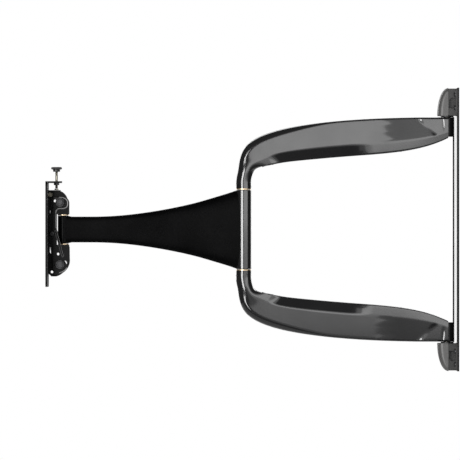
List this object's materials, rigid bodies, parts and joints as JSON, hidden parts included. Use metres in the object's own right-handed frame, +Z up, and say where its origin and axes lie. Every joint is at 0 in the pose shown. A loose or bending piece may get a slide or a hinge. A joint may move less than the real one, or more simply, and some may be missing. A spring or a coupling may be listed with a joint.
{
  "type": "full motion tv wall mount",
  "caption": "Full motion wall mount for a flat TV: a wall plate carries a curved double arm, a tapered forearm and a swivelling, tilting head with a thumb screw.",
  "frame": {"origin": "centre of the wall plate's back face", "axes": "+X into the wall, -X out towards the TV, +Z up, Y along the wall"},
  "size_m": [0.598, 0.12, 0.41],
  "materials": {
    "cast_black": "high-gloss black paint over a cast arm",
    "steel_black": "satin black powder coat",
    "cap_grey": "satin grey moulding",
    "brass": "plain brass",
    "zinc": "zinc-plated steel",
    "black_oxide": "black-oxide steel",
    "bush_grey": "moulded nylon",
    "cover_black": "satin black moulding"
  },
  "bodies": {
    "wall_unit": {"wall_plate": "steel_black", "upper_bracket": "steel_black", "lower_bracket": "steel_black", "upper_cap": "cap_grey", "lower_cap": "cap_grey", "bracket_screws": "black_oxide", "upper_wall_pin": "zinc", "lower_wall_pin": "zinc", "pin_set_screws": "black_oxide", "wall_thrust_washers": "cover_black"},
    "arms": {"upper_arm": "cast_black", "lower_arm": "cast_black", "upper_cable_cover": "cover_black", "lower_cable_cover": "cover_black", "cover_screws": "black_oxide", "wall_bushes": "bush_grey", "elbow_shaft": "zinc", "shaft_set_screws": "black_oxide", "elbow_washers": "brass"},
    "forearm": {"forearm": "cast_black", "elbow_bushes": "bush_grey", "pan_bushes": "bush_grey"},
    "yoke": {"pan_yoke": "steel_black", "pan_bolt": "black_oxide", "pan_nut": "zinc", "pan_nut_washer": "zinc", "pan_washers": "brass", "tilt_stays": "steel_black"},
    "tilt_head": {"tilt_carriage": "steel_black", "tv_plate": "steel_black", "tab_nut": "black_oxide", "tilt_pivot_bolt": "black_oxide", "tilt_pivot_nut": "black_oxide", "guide_bolts": "black_oxide", "guide_nuts": "black_oxide", "guide_washers": "black_oxide", "hook_rod": "zinc", "rod_collars": "zinc"},
    "screw_foot": {"screw_pad": "zinc"},
    "screw": {"thumb_screw": "zinc", "thumb_knob": "cover_black"}
  },
  "joints": [
    {"name": "wall_pivot", "type": "hinge", "parent": "wall_unit", "child": "arms", "pos_m": [-0.0165, 0, 0], "axis": [0, 0, 1], "range_deg": [-85, 85]},
    {"name": "elbow", "type": "hinge", "parent": "arms", "child": "forearm", "pos_m": [-0.3115, 0, 0], "axis": [0, 0, 1], "range_deg": [-155, 155]},
    {"name": "pan", "type": "hinge", "parent": "forearm", "child": "yoke", "pos_m": [-0.573, 0, 0], "axis": [0, 0, 1], "range_deg": [-75, 75]},
    {"name": "tilt", "type": "hinge", "parent": "yoke", "child": "tilt_head", "pos_m": [-0.5894, 0, -0.0058], "axis": [0, -1, 0], "range_deg": [-5, 8]},
    {"name": "screw_travel", "type": "slide", "parent": "tilt_head", "child": "screw_foot", "axis": [0, 0, 1], "range_m": [0, 0.0045]},
    {"name": "screw_turn", "type": "hinge", "parent": "screw_foot", "child": "screw", "pos_m": [-0.5828, 0, 0.087], "axis": [0, 0, 1], "range_deg": [0, 2315]}
  ],
  "couplings": [
    {"joint": "screw_turn", "follows": "screw_travel", "rad_per_m": 8975.9}
  ]
}
